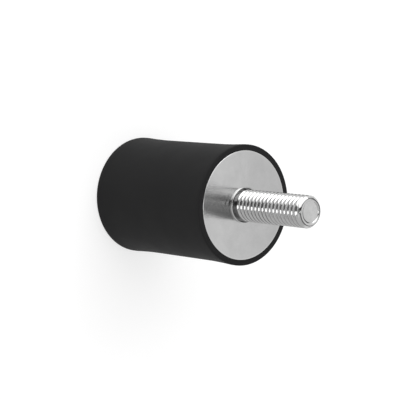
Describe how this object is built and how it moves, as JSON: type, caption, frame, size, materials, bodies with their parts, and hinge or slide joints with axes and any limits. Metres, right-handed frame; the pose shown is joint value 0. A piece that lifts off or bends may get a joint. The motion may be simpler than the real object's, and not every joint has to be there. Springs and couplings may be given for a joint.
{
  "type": "bobbin vibration mount",
  "caption": "Cylindrical rubber mount between two round steel end plates, with a threaded stud on one end and a blind tapped bush in the other.",
  "frame": {"origin": "centre of the outer face of the tapped end plate, which is the face the mount stands on", "axes": "+Z along the mount's axis, from the tapped end to the tip of the stud; X and Y are any two radial directions, because the mount is round"},
  "size_m": [0.03, 0.03, 0.063],
  "materials": {
    "rubber": "satin moulded natural rubber",
    "plate_zinc": "dull zinc-plated strip steel",
    "thread_zinc": "bright zinc-plated rolled steel"
  },
  "bodies": {
    "root": {"rubber_body": "rubber", "stud_plate": "plate_zinc", "threaded_stud": "thread_zinc", "tapped_plate": "plate_zinc", "tapped_bush": "thread_zinc"}
  },
  "joints": []
}
